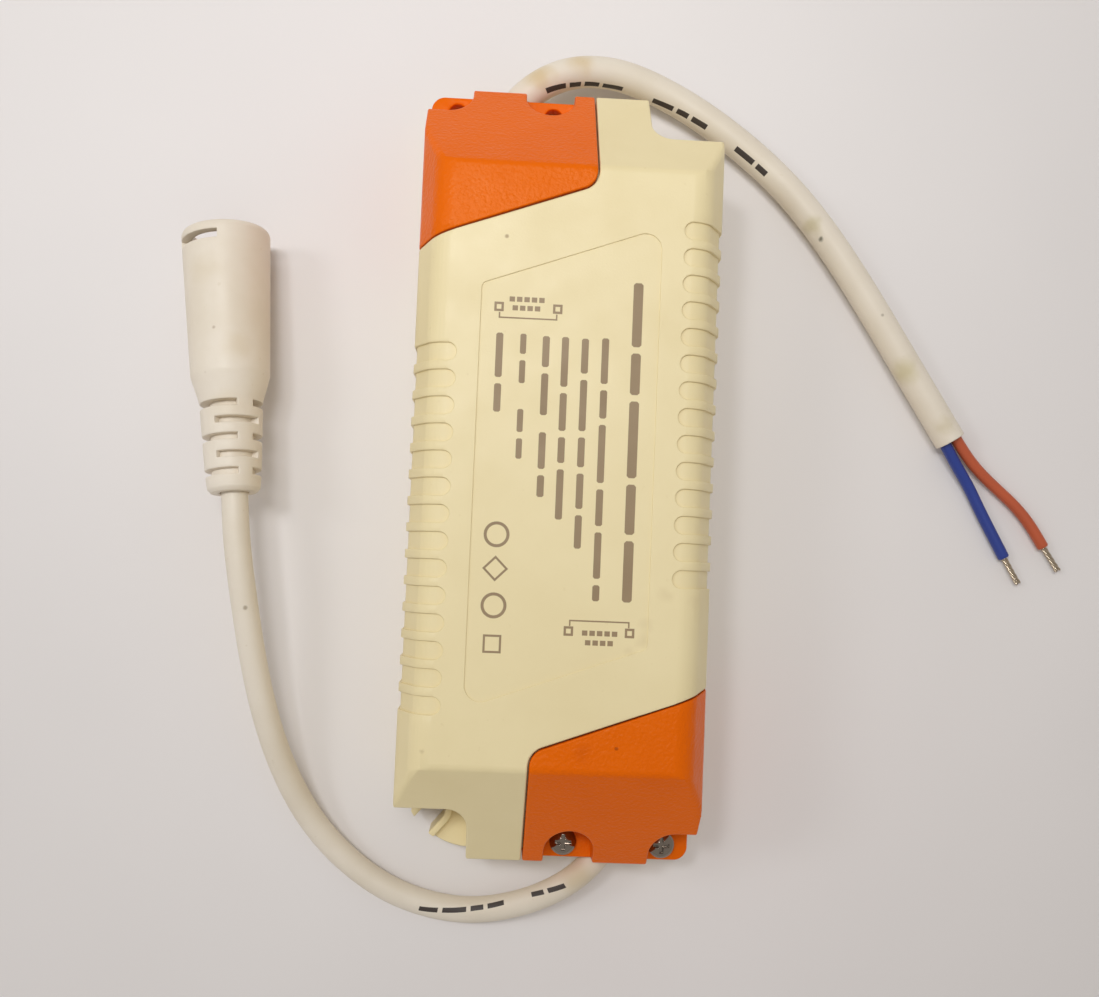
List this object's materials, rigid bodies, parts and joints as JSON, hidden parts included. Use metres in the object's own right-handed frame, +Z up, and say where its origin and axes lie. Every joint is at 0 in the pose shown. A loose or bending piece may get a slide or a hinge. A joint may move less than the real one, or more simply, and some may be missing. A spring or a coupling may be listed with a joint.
{
  "type": "led driver",
  "caption": "Independent LED power supply in a cream slotted-ear case with orange wiring caps, a short supply cable and an output cable with a round connector",
  "frame": {"origin": "middle of the case's flat mounting face", "axes": "X across the case, Y along the case with the supply end at +Y, Z up from the mounting face"},
  "size_m": [0.1505, 0.1457, 0.029],
  "materials": {
    "cream_case": "fine satin texture",
    "orange_cap": "fine spark texture",
    "screw_steel": "nickel plated",
    "board": "bare laminate",
    "terminal_green": "moulded",
    "ceramic_white": "ceramic tube",
    "varistor_blue": "dipped coating",
    "film_yellow": "moulded",
    "ferrite": "ferrite",
    "copper_wire": "enamelled wire",
    "black_epoxy": "moulded epoxy",
    "can_sleeve": "shrink sleeve",
    "winding_tape": "polyester tape",
    "aluminium": "mill finish",
    "red_insulation": "smooth",
    "black_insulation": "smooth",
    "brown_insulation": "smooth",
    "blue_insulation": "smooth",
    "cable_offwhite": "flexible sheath, lightly stained",
    "tinned_copper": "tinned strands",
    "connector_offwhite": "moulded, lightly soiled",
    "insert_black": "moulded",
    "contact_brass": "plated"
  },
  "bodies": {
    "root": {"base_tray": "cream_case", "top_cover": "cream_case", "input_cap": "orange_cap", "output_cap": "orange_cap", "cap_screws": "screw_steel", "circuit_board": "board", "input_terminal_block": "terminal_green", "output_terminal_block": "terminal_green", "terminal_screws": "screw_steel", "fuse_body": "ceramic_white", "fuse_caps": "screw_steel", "varistor": "varistor_blue", "x_capacitor": "film_yellow", "choke_core": "ferrite", "choke_windings": "copper_wire", "bridge_rectifier": "black_epoxy", "bulk_capacitors": "can_sleeve", "transformer_core": "ferrite", "transformer_bobbin": "black_epoxy", "transformer_winding": "winding_tape", "switching_transistor": "black_epoxy", "heatsink": "aluminium", "control_chip": "black_epoxy", "optocoupler": "black_epoxy", "y_capacitor": "varistor_blue", "output_diode": "black_epoxy", "output_capacitors": "can_sleeve", "output_choke_core": "ferrite", "output_choke_winding": "copper_wire", "input_lead_live": "brown_insulation", "input_lead_neutral": "blue_insulation", "output_lead_positive": "red_insulation", "output_lead_negative": "black_insulation", "mains_cable": "cable_offwhite", "live_core": "brown_insulation", "neutral_core": "blue_insulation", "bare_tips": "tinned_copper", "output_cable": "cable_offwhite", "connector_body": "connector_offwhite", "connector_insert": "insert_black", "contact_pins": "contact_brass"}
  },
  "joints": []
}
